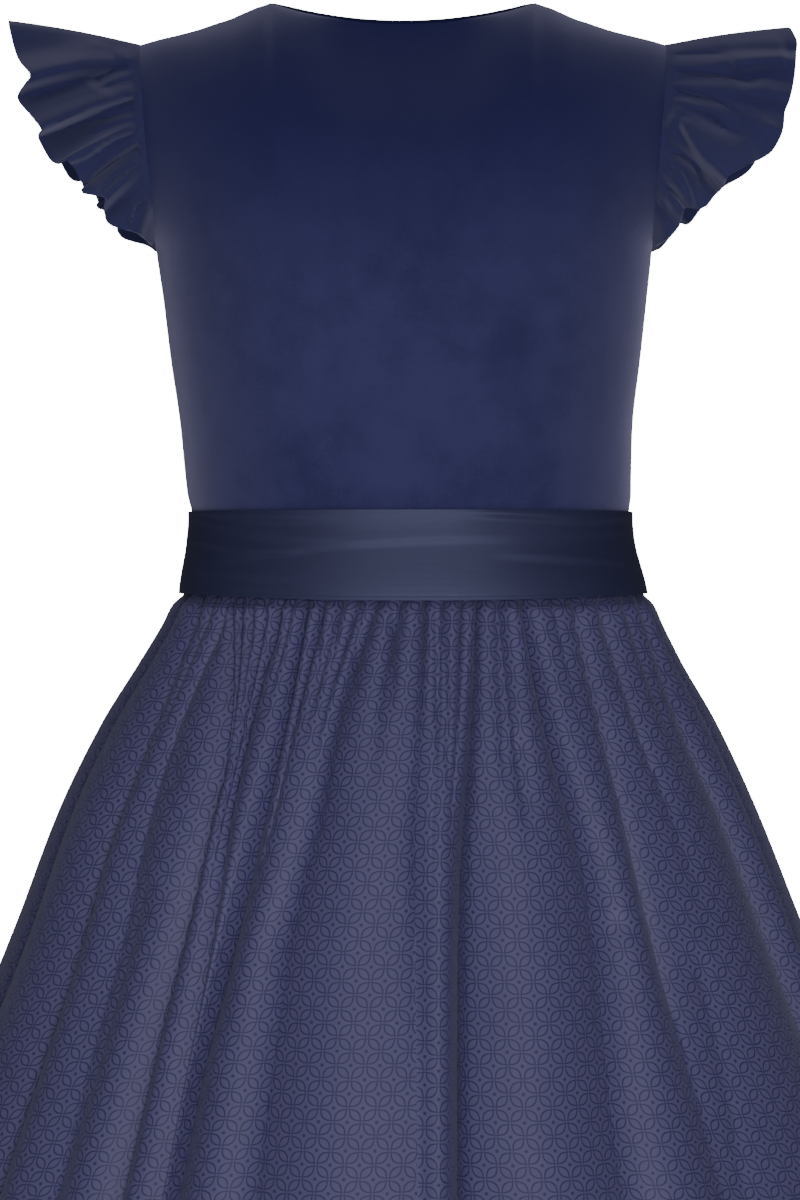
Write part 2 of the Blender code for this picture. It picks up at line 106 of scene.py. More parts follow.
# Sections of the filled-out bodice, from the shoulders to below the waist
Section = collections.namedtuple("Section", "z half_width lean back front")
BODY = [
    Section(0.0020, 0.1254, 0.0019, 0.0620, 0.0600),
    Section(-0.0105, 0.1254, 0.0019, 0.0720, 0.0680),
    Section(-0.0320, 0.1235, 0.0018, 0.0815, 0.0760),
    Section(-0.0556, 0.1217, 0.0018, 0.0865, 0.0815),
    Section(-0.0793, 0.1195, 0.0017, 0.0880, 0.0855),
    Section(-0.1074, 0.1176, 0.0014, 0.0875, 0.0885),
    Section(-0.1311, 0.1147, 0.0009, 0.0860, 0.0890),
    Section(-0.1596, 0.1114, 0.0007, 0.0840, 0.0870),
    Section(-0.1881, 0.1076, 0.0003, 0.0818, 0.0842),
    Section(-0.2166, 0.1057, -0.0007, 0.0805, 0.0822),
    Section(-0.2250, 0.1051, -0.0012, 0.0800, 0.0818),
    Section(-0.2318, 0.1038, -0.0016, 0.0790, 0.0808),
    Section(-0.2475, 0.1050, -0.0018, 0.0800, 0.0818),
    Section(-0.2668, 0.1092, -0.0028, 0.0832, 0.0850),
    Section(-0.2770, 0.1100, -0.0033, 0.0842, 0.0860),
]
BODICE_LOWER_ROWS = 64
BODICE_UPPER_ROWS = 56
BODICE_HALF_COLUMNS = 64

# Sash
SASH_TOP_Z = -0.2318
SASH_BOTTOM_Z = -0.2738
SASH_CLEAR = 0.0006  # outside the bodice
SASH_ROWS = 72
SASH_COLUMNS = 240
SASH_HELD_LOW = 0.06  # parts of its height where its lower and its upper edge hold the creases down
SASH_HELD_HIGH = 0.04

# Skirt
SKIRT = [
    Section(-0.2671, 0.1086, -0.0028, 0.0826, 0.0844),
    Section(-0.2738, 0.1090, -0.0031, 0.0834, 0.0852),
    Section(-0.2785, 0.1140, -0.0029, 0.0885, 0.0900),
    Section(-0.2890, 0.1192, -0.0026, 0.0940, 0.0955),
    Section(-0.3080, 0.1299, -0.0016, 0.1030, 0.1045),
    Section(-0.3350, 0.1462, -0.0010, 0.1165, 0.1180),
    Section(-0.3750, 0.1655, -0.0005, 0.1330, 0.1345),
    Section(-0.4300, 0.1871, -0.0010, 0.1530, 0.1545),
    Section(-0.5000, 0.2161, -0.0012, 0.1790, 0.1805),
    Section(-0.5750, 0.2459, -0.0012, 0.2063, 0.2078),
    Section(-0.6400, 0.2693, -0.0012, 0.2280, 0.2295),
    Section(-0.6690, 0.2788, -0.0012, 0.2370, 0.2385),
]

# Places in the tables of creases are counted right and down from the picture's upper left corner
PICTURE = 0.000475
PICTURE_LEFT = 407
PICTURE_TOP = 24

# Long folds of half the skirt, from the wearer's left to the right: depth, and small gathers up to the next
# fold; depth of the sharp crease in it, how far that reaches to the left and to the right as seen, and the
# share of the length where it has faded; and the fold's line, as places that it passes through or as turns in
# degrees. The first and the last fold mirror each other, so that the two halves meet at the side seams.
Turns = collections.namedtuple("Turns", "waist middle hem")
Fold = collections.namedtuple("Fold", "depth gathers crease left right end line")
NEVER = 9.0
FOLDS = [
    Fold(0.005, 0, 0.0030, 0.003, 0.003, NEVER, Turns(78.0, 77.5, 77.5)),
    Fold(0.008, 1, 0.0036, 0.004, 0.010, NEVER, ((209, 600), (163, 715), (112, 837), (77, 951))),
    Fold(0.005, 0, 0.0020, 0.004, 0.006, 0.5, Turns(51.5, 46.5, 46.0)),
    Fold(0.008, 3, 0.0034, 0.004, 0.012, NEVER, ((236, 600), (232, 720), (204, 860), (166, 1000))),
    Fold(0.004, 1, 0.0030, 0.003, 0.007, 0.6, Turns(34.4, 30.0, 30.5)),
    Fold(0.009, 3, 0.0038, 0.004, 0.010, NEVER, ((310, 600), (283, 727), (245, 880), (204, 1038))),
    Fold(0.006, 1, 0.0044, 0.003, 0.014, 1.0, ((380, 600), (342, 710), (319, 817), (288, 931))),
    Fold(0.004, 2, 0.0030, 0.003, 0.006, 0.6, ((425, 600), (418, 753), (413, 817))),
    Fold(0.012, 1, 0.0064, 0.008, 0.0014, NEVER, ((477, 600), (474, 702), (462, 880), (457, 1196))),
    Fold(0.008, 1, 0.0042, 0.012, 0.003, NEVER, ((520, 600), (548, 727), (589, 880), (612, 1110))),
    Fold(0.006, 2, 0.0032, 0.009, 0.004, 0.7, ((568, 600), (586, 676), (622, 817))),
    Fold(0.008, 0, 0.0042, 0.010, 0.004, NEVER, ((632, 600), (680, 727), (729, 829), (783, 964))),
    Fold(0.005, 0, 0.0030, 0.003, 0.003, NEVER, Turns(-78.0, -77.5, -77.5)),
]
FOLD_MIDDLE = 0.4  # share of the length where the middle turn lies
FOLD_LIMIT = 0.98  # sine of the largest turn that a fold's line can have
FOLD_INSIDE = 0.003  # how far inside the ridges a fold's line is counted
FOLD_GROWN = 0.45  # share of the length where the folds have their full depth
FOLD_WIDE = 1.1  # more makes the valleys wider and the ridges between them narrower
CREASE_FADE = 0.3  # share of the length over which a sharp crease fades
CREASE_GROWN = 0.15  # share of the length where it has its full depth
CREASE_START = 0.35  # part of the depth that it has at the waist
GATHER_DEPTH = 0.0056  # of the small gathers, once they are below the ribbon
GATHER_TIGHT = 0.0016  # and where the ribbon holds them
GATHER_FREE = 0.05  # share of the length where they have come free
GATHER_REACH = 0.42  # share of the length where they have run out
GATHER_SHARP = 0.09  # width of their sharp middle, in gathers
COLUMNS_PER_GATHER = 16
SKIRT_ROWS = 104

# Loose creases of the skirt's back, between the long folds
Crease = collections.namedtuple("Crease", "depth left right path")
SKIRT_CREASES = [
    Crease(0.0022, 0.004, 0.008, ((263, 615), (237, 738), (212, 791))),
    Crease(0.0022, 0.003, 0.004, ((219, 612), (217, 655))),
    Crease(0.0020, 0.003, 0.005, ((184, 735), (176, 785))),
    Crease(0.0028, 0.005, 0.009, ((153, 870), (117, 1007), (97, 1069), (59, 1181))),
    Crease(0.0025, 0.003, 0.003, ((196, 605), (190, 640))),
    Crease(0.0025, 0.002, 0.003, ((278, 602), (272, 655))),
    Crease(0.0025, 0.003, 0.002, ((321, 602), (318, 690))),
    Crease(0.0025, 0.002, 0.004, ((340, 602), (333, 660))),
    Crease(0.0025, 0.002, 0.004, ((362, 602), (352, 680))),
    Crease(0.0025, 0.003, 0.002, ((393, 602), (392, 690))),
    Crease(0.0025, 0.003, 0.002, ((435, 602), (437, 720))),
    Crease(0.0025, 0.003, 0.002, ((443, 602), (447, 760))),
    Crease(0.0028, 0.005, 0.002, ((496, 602), (500, 700), (503, 760))),
    Crease(0.0028, 0.005, 0.003, ((517, 727), (525, 804))),
    Crease(0.0025, 0.004, 0.002, ((602, 604), (612, 680))),
    Crease(0.0030, 0.006, 0.008, ((693, 944), (711, 1020), (729, 1110), (737, 1173))),
    Crease(0.0025, 0.004, 0.004, ((560, 900), (600, 925), (625, 915))),
]

# Apron
APRON_FIRST = 6.5  # its two sides, counted in the skirt's gathers
APRON_LAST = 23.0
APRON_CLEAR = 0.0008  # outside the skirt
APRON_DROP = 0.0004  # below the ribbon's lower edge
APRON_HEM_Z = -0.6400

# Ribs of the sleeves, from the shoulder to the underarm: place along the armhole, and how far the outer edge
# lies out from there, above it, and behind it or, on the front half, before it
Rib = collections.namedtuple("Rib", "seam out up stand")
SLEEVE_LEFT = [
    Rib(0.000, 0.0620, 0.0116, 0.000),
    Rib(0.035, 0.0570, -0.0030, 0.004),
    Rib(0.080, 0.0490, -0.0110, 0.022),
    Rib(0.150, 0.0567, -0.0130, 0.004),
    Rib(0.210, 0.0504, -0.0169, 0.011),
    Rib(0.265, 0.0453, -0.0189, 0.019),
    Rib(0.330, 0.0475, -0.0157, 0.004),
    Rib(0.370, 0.0425, -0.0222, 0.008),
    Rib(0.395, 0.0390, -0.0222, 0.011),
    Rib(0.440, 0.0336, -0.0171, 0.017),
    Rib(0.510, 0.0280, -0.0212, 0.005),
    Rib(0.540, 0.0286, -0.0214, 0.008),
    Rib(0.570, 0.0235, -0.0200, 0.011),
    Rib(0.620, 0.0183, -0.0166, 0.015),
    Rib(0.690, 0.0200, -0.0158, 0.004),
    Rib(0.740, 0.0175, -0.0169, 0.009),
    Rib(0.790, 0.0068, -0.0152, 0.012),
    Rib(0.860, 0.0030, -0.0106, 0.006),
    Rib(0.930, 0.0003, -0.0062, 0.003),
]
SLEEVE_RIGHT = [
    Rib(0.000, 0.0579, 0.0084, 0.000),
    Rib(0.040, 0.0604, 0.0039, 0.005),
    Rib(0.085, 0.0602, 0.0024, 0.003),
    Rib(0.145, 0.0595, 0.0023, 0.012),
    Rib(0.195, 0.0591, -0.0016, 0.006),
    Rib(0.240, 0.0571, -0.0062, 0.013),
    Rib(0.280, 0.0551, -0.0087, 0.008),
    Rib(0.320, 0.0536, -0.0142, 0.014),
    Rib(0.350, 0.0484, -0.0213, 0.010),
    Rib(0.390, 0.0375, -0.0240, 0.018),
    Rib(0.440, 0.0288, -0.0248, 0.022),
    Rib(0.500, 0.0277, -0.0224, 0.007),
    Rib(0.560, 0.0241, -0.0209, 0.013),
    Rib(0.620, 0.0194, -0.0211, 0.015),
    Rib(0.680, 0.0125, -0.0144, 0.006),
    Rib(0.740, 0.0111, -0.0110, 0.012),
    Rib(0.810, 0.0097, -0.0103, 0.006),
    Rib(0.880, 0.0056, -0.0086, 0.008),
    Rib(0.940, 0.0006, -0.0055, 0.003),
]
FRONT_SHARE = 0.94  # width of a sleeve's front half, as a part of its back half
FRONT_FADE = 0.1  # part of the armhole over which it gets there
RIB_BOW = 0.0010
SLEEVE_GATHERS = 13  # small gathers along each half of the armhole
SLEEVE_GATHER_DEPTH = 0.0010
SLEEVE_GATHER_START = 0.12  # part of the sleeve's width where they have formed
SLEEVE_GATHER_REACH = 0.50  # part of the sleeve's width where they have run out
SLEEVE_HALF_COLUMNS = 160
SLEEVE_ROWS = 64
SLEEVE_CLOTH = 0.0013
SLEEVE_TUCK = 0.0008  # how far the sleeve reaches into the bodice's edge

# Creases of the backs of the sleeves and the sash: how far the cloth stands out just above and just below the
# line, and how far that reaches to each side
Mark = collections.namedtuple("Mark", "upper lower above below path")
MARKS_LEFT = [
    Mark(0.0070, 0.0070, 0.011, 0.009, ((99, 38), (90, 55), (78, 68), (66, 76), (20, 92))),
    Mark(-0.0055, -0.0055, 0.009, 0.009, ((128, 62), (110, 78), (96, 98))),
    Mark(0.0030, -0.0050, 0.012, 0.006, ((143, 101), (99, 118), (88, 123), (66, 133), (37, 144))),
    Mark(0.0028, -0.0045, 0.008, 0.006, ((143, 137), (116, 149), (93, 166), (74, 173), (60, 178))),
    Mark(0.0024, -0.0035, 0.006, 0.005, ((147, 147), (126, 161), (106, 176), (88, 194))),
    Mark(0.0024, -0.0035, 0.006, 0.005, ((148, 169), (133, 177), (116, 191), (106, 210))),
    Mark(0.0018, -0.0030, 0.005, 0.005, ((152, 205), (141, 210), (136, 220), (131, 238))),
    Mark(-0.0016, -0.0016, 0.0015, 0.003, ((141, 50), (125, 47), (109, 50))),
    Mark(0.0008, -0.0016, 0.004, 0.003, ((140, 66), (110, 76), (86, 88))),
    Mark(0.0008, -0.0018, 0.004, 0.003, ((141, 83), (120, 90), (99, 99))),
    Mark(0.0008, -0.0018, 0.004, 0.003, ((143, 114), (122, 121), (103, 128))),
    Mark(0.0008, -0.0018, 0.004, 0.003, ((143, 126), (118, 134), (93, 143))),
    Mark(0.0006, -0.0014, 0.003, 0.003, ((149, 188), (138, 196), (128, 210))),
]
MARKS_RIGHT = [
    Mark(-0.0015, -0.0015, 0.002, 0.003, ((668, 54), (678, 50), (686, 44))),
    Mark(0.0004, -0.0014, 0.003, 0.003, ((667, 60), (700, 59), (724, 60))),
    Mark(0.0055, 0.0055, 0.009, 0.005, ((725, 76), (740, 70), (759, 65), (786, 60))),
    Mark(0.0012, -0.0028, 0.004, 0.005, ((667, 75), (685, 78), (703, 81), (729, 85), (748, 90))),
    Mark(0.0030, 0.0030, 0.006, 0.006, ((750, 88), (756, 95), (750, 103), (729, 111))),
    Mark(
        *(0.0014, -0.0022, 0.005, 0.004),
        ((665, 93), (683, 99), (701, 104), (720, 113), (736, 126), (744, 138)),
    ),
    Mark(0.0012, -0.0020, 0.004, 0.004, ((667, 109), (688, 118), (708, 125), (726, 143))),
    Mark(
        *(0.0055, 0.0055, 0.005, 0.009),
        ((664, 118), (680, 125), (696, 137), (710, 146), (723, 152), (736, 154), (749, 151)),
    ),
    Mark(0.0050, 0.0050, 0.006, 0.007, ((736, 154), (749, 151), (761, 141), (768, 130))),
    Mark(0.0030, -0.0060, 0.008, 0.007, ((673, 128), (686, 154), (695, 169), (703, 182), (722, 202))),
    Mark(0.0014, -0.0026, 0.004, 0.004, ((660, 158), (676, 163), (690, 175), (700, 200))),
    Mark(0.0016, -0.0030, 0.004, 0.004, ((660, 171), (676, 178), (684, 194), (692, 216))),
    Mark(0.0016, -0.0030, 0.004, 0.004, ((658, 189), (668, 192), (678, 206), (684, 222))),
    Mark(0.0012, -0.0024, 0.004, 0.004, ((656, 203), (664, 208), (670, 222))),
]
SASH_MARKS = [
    Mark(0.0011, -0.0012, 0.004, 0.005, ((120, 508), (184, 513), (225, 518), (280, 523), (350, 524))),
    Mark(0.0009, -0.0010, 0.005, 0.004, ((150, 512), (200, 524), (240, 534), (285, 542), (360, 546))),
    Mark(0.0012, -0.0011, 0.005, 0.004, ((120, 538), (182, 543), (215, 548), (250, 554), (330, 558))),
    Mark(0.0004, -0.0004, 0.006, 0.006, ((170, 572), (240, 562), (320, 550), (420, 543), (540, 541))),
    Mark(0.0008, -0.0008, 0.004, 0.004, ((120, 568), (182, 572), (220, 576), (320, 584))),
    Mark(0.0010, -0.0011, 0.004, 0.005, ((700, 518), (640, 520), (590, 524), (520, 520), (440, 516))),
    Mark(0.0009, -0.0009, 0.005, 0.005, ((710, 572), (645, 568), (575, 562), (480, 558))),
    Mark(0.0008, -0.0008, 0.005, 0.004, ((700, 534), (640, 535), (600, 537), (540, 544))),
]
# Width over which a crease changes from one side of its line to the other, and length over which it runs out
SLEEVE_MARK_EDGE = 0.0026
SLEEVE_MARK_ENDS = 0.006
SASH_MARK_EDGE = 0.005
SASH_MARK_ENDS = 0.035
MARK_BACK = 0.04  # part of the armhole before the shoulder over which the back's creases run out
MARK_SEAM = 0.10  # part of the sleeve's width where the seam holds them down

# Velvets: the darkest and the lightest patch, the painted shade towards the shoulders, and the strength of
# the bloom
Pile = collections.namedtuple("Pile", "name dark light top sheen")
PILES = [
    Pile("velvet", (0.0124, 0.0128, 0.056), (0.0236, 0.0236, 0.082), (0.0012, 0.0018, 0.038), 0.31),
    # a lighter copy of the same velvet for the sleeves, painted light on them
    Pile("velvet_flutter_painted_light", (0.0165, 0.0172, 0.060), (0.0280, 0.0288, 0.086), (0.0150, 0.0158, 0.060), 0.20),
    # a darker copy of the velvet for the neck roll, painted shade along the neck edge
    Pile("velvet_trim_painted_shade", (0.0045, 0.0048, 0.026), (0.0080, 0.0083, 0.036), (0.0015, 0.0020, 0.024), 0.10),
]
# Heights over which the velvet turns to its top colour, a painted shade that darkens it towards the shoulders
TOP_SHADE_FROM_Z = -0.125
TOP_SHADE_FULL_Z = 0.015

# Satin: its two blues, the spacing of its ribs, and the stitched line beside the ribbon's lower edge
SATIN_DARK = (0.0092, 0.0100, 0.0330, 1)
SATIN_LIGHT = (0.0126, 0.0136, 0.0430, 1)
SATIN_RIB = 0.00055
STITCH_IN = 0.0020
STITCH_HALF = 0.0006

# Jacquard: the repeat of its dots along and across the cloth, and its blues
REPEAT = 0.0131
CHANNEL_HALF = 0.11  # from the middle of a light cross to its edge, as twice the share of the repeat
GROUND_DARK = (0.053, 0.0475, 0.118, 1)
GROUND_LIGHT = (0.066, 0.0590, 0.140, 1)
FIGURE_BLUE = (0.0165, 0.0155, 0.066, 1)
THREAD_BLUE = (0.034, 0.031, 0.084, 1)

SHARP_ANGLE = 60  # edges between two faces that turn more than this are shown sharp

# Stage: a white floor, and a lit white panel before the dress, which is the picture's white ground
FLOOR_X = (-4.0, 4.0)
FLOOR_Y = (-5.9, 4.5)
FLOOR_Z = -1.25
PANEL_X = (-0.63, 0.64)
PANEL_Y = -6.0
PANEL_Z = (-1.18, 0.64)
PANEL_STRENGTH = 16
WORLD_STRENGTH = 0.08
Light = collections.namedtuple("Light", "name place aim size power")
LIGHTS = [
    Light("front_soft", (-0.22, 3.1, -0.35), (0, 0, -0.30), (1.2, 1.2), 74),
    Light("top_soft", (0.2, 1.5, 2.2), (0, 0, -0.05), (1.6, 1.2), 16),
    Light("left_fill", (2.4, 1.2, 0.2), (0, 0, -0.25), (1.2, 1.8), 3),
    Light("right_fill", (-2.4, 1.2, 0.2), (0, 0, -0.25), (1.2, 1.8), 2),
]

# Camera: its place, and the height that its picture shows at the dress
CAMERA = (0.0033, 2.8, -0.2736)
SHOWN_HEIGHT = 0.570
SENSOR = 36


def mix(a, b, share):
    return a + (b - a) * share


def smooth(share):
    share = np.clip(share, 0.0, 1.0)
    return share * share * (3 - 2 * share)


def read(table, at):
    """Rows of the table at places in its first column, on a smooth curve through all the rows."""
    rows = np.array(sorted(tuple(row) for row in table))
    at = np.clip(np.asarray(at, float), rows[0, 0], rows[-1, 0])
    place = np.clip(np.searchsorted(rows[:, 0], at, side="right"), 1, len(rows) - 1)
    low, high = rows[place - 1], rows[place]
    before, after = rows[np.maximum(place - 2, 0)], rows[np.minimum(place + 1, len(rows) - 1)]
    span = (high[..., 0] - low[..., 0])[..., None]
    t = (at - low[..., 0])[..., None] / span
    slope_low = (high - before) / (high[..., :1] - before[..., :1])
    slope_high = (after - low) / (after[..., :1] - low[..., :1])
    values = (
        (2 * t**3 - 3 * t**2 + 1) * low
        + (t**3 - 2 * t**2 + t) * span * slope_low
        + (3 * t**2 - 2 * t**3) * high
        + (t**3 - t**2) * span * slope_high
    )
    return type(table[0])(*np.moveaxis(values, -1, 0))


def rounded(angle, half_width, depth, square):
    sine, cosine = np.sin(angle), np.cos(angle)
    x = np.copysign(np.abs(sine) ** (2 / square), sine) * half_width
    y = np.copysign(np.abs(cosine) ** (2 / square), cosine) * depth
    return x, y


def apart(value):
    return np.maximum(value, SEAM / 2)


def waist_rise(angle):
    return WAIST_RISE * np.sin(angle) ** 2


def points(x, y, z):
    return np.stack(np.broadcast_arrays(x, y, z), axis=-1)


# ---------------------------------------------------------------- bodice


def body_point(angle, z, out):
    """Points this far outside the bodice, at angles from the centre back towards the wearer's left."""
    section = read(BODY, z)
    depth = np.where(np.cos(angle) > 0, section.back, section.front)
    x, y = rounded(angle, section.half_width + out, depth + out, BODY_SQUARE)
    return points(section.lean + x, np.copysign(apart(np.abs(y)), np.cos(angle)), z)


def neck_edge(face, x):
    bend = np.sqrt(np.maximum(1 - (x / NECK_HALF) ** 2, 0))
    if face > 0:
        return NECK_Z - BACK_NECK_DROP * bend**BACK_NECK_BEND, BACK_NECK_DEPTH * bend
    return NECK_Z - FRONT_NECK_DROP * bend, FRONT_NECK_DEPTH * bend


def roll_height(x):
    """The roll stands highest at the middle of the neck and runs out at the shoulders."""
    bend = np.sqrt(np.maximum(1 - (x / NECK_HALF) ** 2, 0))
    return BINDING_HIGH * np.clip(BINDING_RISE * bend, BINDING_LEAST, 1)


def top_edge(face, x):
    z, y = neck_edge(face, x)
    share = np.clip((np.abs(x) - NECK_HALF) / (SHOULDER_HALF - NECK_HALF), 0, 1)
    over_neck = np.abs(x) <= NECK_HALF
    start = NECK_Z - BINDING_LEAST * BINDING_HIGH
    shoulder = mix(start, SHOULDER_TIP_Z, read(SHOULDER_LINE, share).drop)
    return np.where(over_neck, z - roll_height(x) * BINDING_SUNK, shoulder), np.where(over_neck, y, 0.0)


def bodice_row(face, across, height, inset):
    """One row of a panel: across from -1 to 1, height from 0 at the waist, by 1 at the underarm, to 2."""
    if height <= 1:
        angle = across * math.pi / 2
        z = mix(WAIST_Z + waist_rise(angle), UNDERARM_Z, height)
        return body_point(angle if face > 0 else math.pi - angle, z, -inset)

    rise = height - 1
    edge = read(BODY, mix(UNDERARM_Z, SHOULDER_TIP_Z, rise))
    edge_y = ARMHOLE_DEPTH * math.sqrt(max(1 - (2 * rise - 1) ** 2, 0))
    x_share, y_share = rounded(across * math.pi / 2, 1, 1, BODY_SQUARE)
    x = edge.half_width * x_share

    top_z, top_y = top_edge(face, x)
    z = mix(UNDERARM_Z, top_z, rise)
    section = read(BODY, z)
    depth = (section.back if face > 0 else section.front) - inset
    y = np.cbrt((depth * y_share) ** 3 + edge_y**3 * (1 - y_share**3))

    below = np.clip((top_z - z) / SHOULDER_ROUND, 0, 1)
    neck = 1 - smooth((np.abs(x) / NECK_HALF - NECK_FULL) / NECK_FADE)
    over_shoulder = 1 - np.sqrt(1 - (1 - below) ** 2)
    turn = mix(over_shoulder, (1 - below) ** NECK_CURVE, neck)
    neck_y = top_y - inset * top_y / BACK_NECK_DEPTH
    y = mix(y, mix(edge_y, 0, neck) + neck_y, turn)
    z = z - inset * turn * (1 - neck)
    x = x * (1 - inset / edge.half_width)
    return points(edge.lean + x, face * apart(y), z)


def bodice_heights():
    lower = [i / BODICE_LOWER_ROWS for i in range(BODICE_LOWER_ROWS + 1)]
    turns = [math.pi * i / BODICE_UPPER_ROWS for i in range(1, BODICE_UPPER_ROWS + 1)]
    return lower + [1.5 - math.cos(turn) / 2 for turn in turns]


def bodice_grids(face, across, centre=None):
    """Outer and inner grid of a panel. centre is the side of a front half, kept clear of the middle."""
    grids = []
    for inset in (0, VELVET):
        grid = np.array([bodice_row(face, across, height, inset) for height in bodice_heights()])
        if centre:
            grid[..., 0] = centre * apart(centre * grid[..., 0])
        grids.append(grid)
    return grids


def neck_binding(name, face, first, last, material):
    """Rolled edge along the neck, between two turns round it in degrees."""
    around = 2 * math.pi * (np.arange(BINDING_SIDES) + 0.5) / BINDING_SIDES
    rings = []
    for turn in np.radians(np.linspace(first, last, BINDING_RINGS)):
        x = NECK_HALF * math.sin(turn)
        z, y = neck_edge(face, x)
        out_x, out_y = math.sin(turn) * BACK_NECK_DEPTH, math.cos(turn) * NECK_HALF
        length = math.hypot(out_x, out_y)
        out = np.cos(around) * BINDING_WIDE / 2 - VELVET / 2
        point_x = x + out * out_x / length
        if first * last == 0:
            point_x = np.copysign(apart(np.abs(point_x)), first + last)
        lift = (np.sin(around) - 1) * roll_height(x) / 2
        rings.append(points(BODY[0].lean + point_x, face * apart(y + out * out_y / length), z + lift))
    return tube(name, np.array(rings), material)


# ---------------------------------------------------------------- sash


def sash_folds(grid, share):
    """Shallow creases of the sash's back, gone at its two edges."""
    held = smooth(share / SASH_HELD_LOW) * smooth((1 - share) / SASH_HELD_HIGH)
    creases = marked(grid[..., 0], grid[..., 2], SASH_MARKS, SASH_MARK_EDGE, SASH_MARK_ENDS)
    return creases * held[:, None]


def sash_grids(face):
    angle = np.linspace(-1, 1, SASH_COLUMNS + 1) * math.pi / 2
    heights = np.linspace(0, 1, SASH_ROWS + 1)
    grids = []
    for out in (SASH_CLEAR + SATIN, SASH_CLEAR):
        grid = []
        for height in heights:
            z = mix(SASH_BOTTOM_Z + waist_rise(angle), SASH_TOP_Z, height)
            grid.append(body_point(angle if face > 0 else math.pi - angle, z, out))
        grid = np.array(grid)
        if face > 0:
            grid[..., 1] += sash_folds(grid, heights)
        grids.append(grid)
    return grids


# ---------------------------------------------------------------- skirt and apron


def from_picture(path):
    """Places across and up for places counted in the picture."""
    across, down = np.array(path, float).T
    return (PICTURE_LEFT - across) * PICTURE, (PICTURE_TOP - down) * PICTURE


Spot = collections.namedtuple("Spot", "z x")
Step = collections.namedtuple("Step", "number x z")


def curved(path, steps=4):
    """A line through places of the picture, rounded with this many steps between them."""
    table = [Step(number, *place) for number, place in enumerate(zip(*from_picture(path)))]
    line = read(table, np.linspace(0, len(path) - 1, steps * (len(path) - 1) + 1))
    return line.x, line.z


def smooth_path(path, z):
    """How far across a line through places of the picture runs at heights z."""
    across, heights = from_picture(path)
    return read([Spot(*spot) for spot in zip(heights, across)], z).x


def valleys():
    """Rows (fold, next fold, share between them) for every gather of half a skirt, with one more past each
    end. Folds before the first and after the last belong to the other half, turned half round."""
    folds = [-1] + list(range(len(FOLDS)))
    counts = [0] + [fold.gathers for fold in FOLDS[:-1]] + [0]
    found = []
    for fold, gathers in zip(folds, counts):
        found += [(fold, gather / (gathers + 1)) for gather in range(gathers + 1)]
    return found + [(len(FOLDS), 0.0)]


VALLEYS = valleys()
VALLEY_PLACES = np.arange(len(VALLEYS)) - 1.0
VALLEY_ALONG = np.array([fold + share for fold, share in VALLEYS])


def fold_angle(fold, z):
    """Angle of a long fold's line, or of the other half's nearest one past either end."""
    if fold < 0:
        return fold_angle(len(FOLDS) - 1, z) + math.pi
    if fold >= len(FOLDS):
        return fold_angle(0, z) - math.pi
    row = FOLDS[fold]
    if isinstance(row.line, Turns):
        down = (SKIRT[0].z - z) / (SKIRT[0].z - SKIRT[-1].z)
        waist, middle, hem = row.line
        bend = (middle - mix(waist, hem, FOLD_MIDDLE)) / (FOLD_MIDDLE * (1 - FOLD_MIDDLE))
        return math.radians(mix(waist, hem, down) + bend * down * (1 - down))
    z = max(z, from_picture(row.line)[1][-1])
    section = read(SKIRT, z)
    share = (float(smooth_path(row.line, z)) - section.lean) / (section.half_width - FOLD_INSIDE)
    return math.asin(min(max(share, -FOLD_LIMIT), FOLD_LIMIT))


def skirt_angles(place, z):
    """Angles of places counted in gathers, and the angle of every long fold, at one height."""
    folds = np.array([fold_angle(fold, z) for fold in range(-1, len(FOLDS) + 1)])
    angles = np.interp(VALLEY_ALONG, np.arange(-1, len(FOLDS) + 1), folds)
    return np.interp(place, VALLEY_PLACES, angles), folds


def fold_depth(place, z, arc):
    """How far the skirt lies inside its ridges. arc gives the cloth's length for an angle's change."""
    down = (SKIRT[0].z - z) / (SKIRT[0].z - SKIRT[-1].z)
    angle, folds = skirt_angles(place, z)
    along = np.interp(place, VALLEY_PLACES, VALLEY_ALONG)
    depths = np.array([fold.depth for fold in FOLDS])
    off = np.abs(along - np.round(along))
    broad = np.interp(along, np.arange(len(FOLDS)), depths) * (1 - np.sin(math.pi * off) ** FOLD_WIDE)
    total = broad * float(smooth(down / FOLD_GROWN))

    for number, fold in enumerate(FOLDS):
        away = (folds[number + 1] - angle) * arc
        reach = np.where(away < 0, fold.left, fold.right) * (0.6 + 0.9 * down)
        faded = 1 - float(smooth((down - fold.end + CREASE_FADE) / CREASE_FADE))
        started = CREASE_START + (1 - CREASE_START) * float(smooth(down / CREASE_GROWN))
        total = total + fold.crease * faded * started * np.exp(-np.abs(away) / reach)

    gather = np.round(place)
    uneven = 0.62 + 0.38 * np.sin(gather * 2.6 + 0.8) * np.cos(gather * 1.3)
    released = float(smooth(down / GATHER_FREE))
    reach = GATHER_REACH * (0.75 + 0.35 * np.sin(gather * 1.9))
    size = mix(GATHER_TIGHT, GATHER_DEPTH * uneven, released) * (1 - smooth(down / reach))
    sharp = np.exp(-np.abs(place - gather) / GATHER_SHARP)
    return total + size * (0.8 * (1 - np.abs(np.sin(math.pi * place))) + 0.5 * sharp)


def loose_creases(x, z):
    """Depth of the loose creases at places of the skirt's back."""
    total = np.zeros_like(x)
    for crease in SKIRT_CREASES:
        _, heights = from_picture(crease.path)
        away = smooth_path(crease.path, z) - x
        reach = np.where(away < 0, crease.left, crease.right)
        fade = smooth((heights[0] - z + 0.004) / 0.012) * smooth((z - heights[-1] + 0.012) / 0.02)
        total += crease.depth * fade * np.exp(-np.abs(away) / reach)
    return total


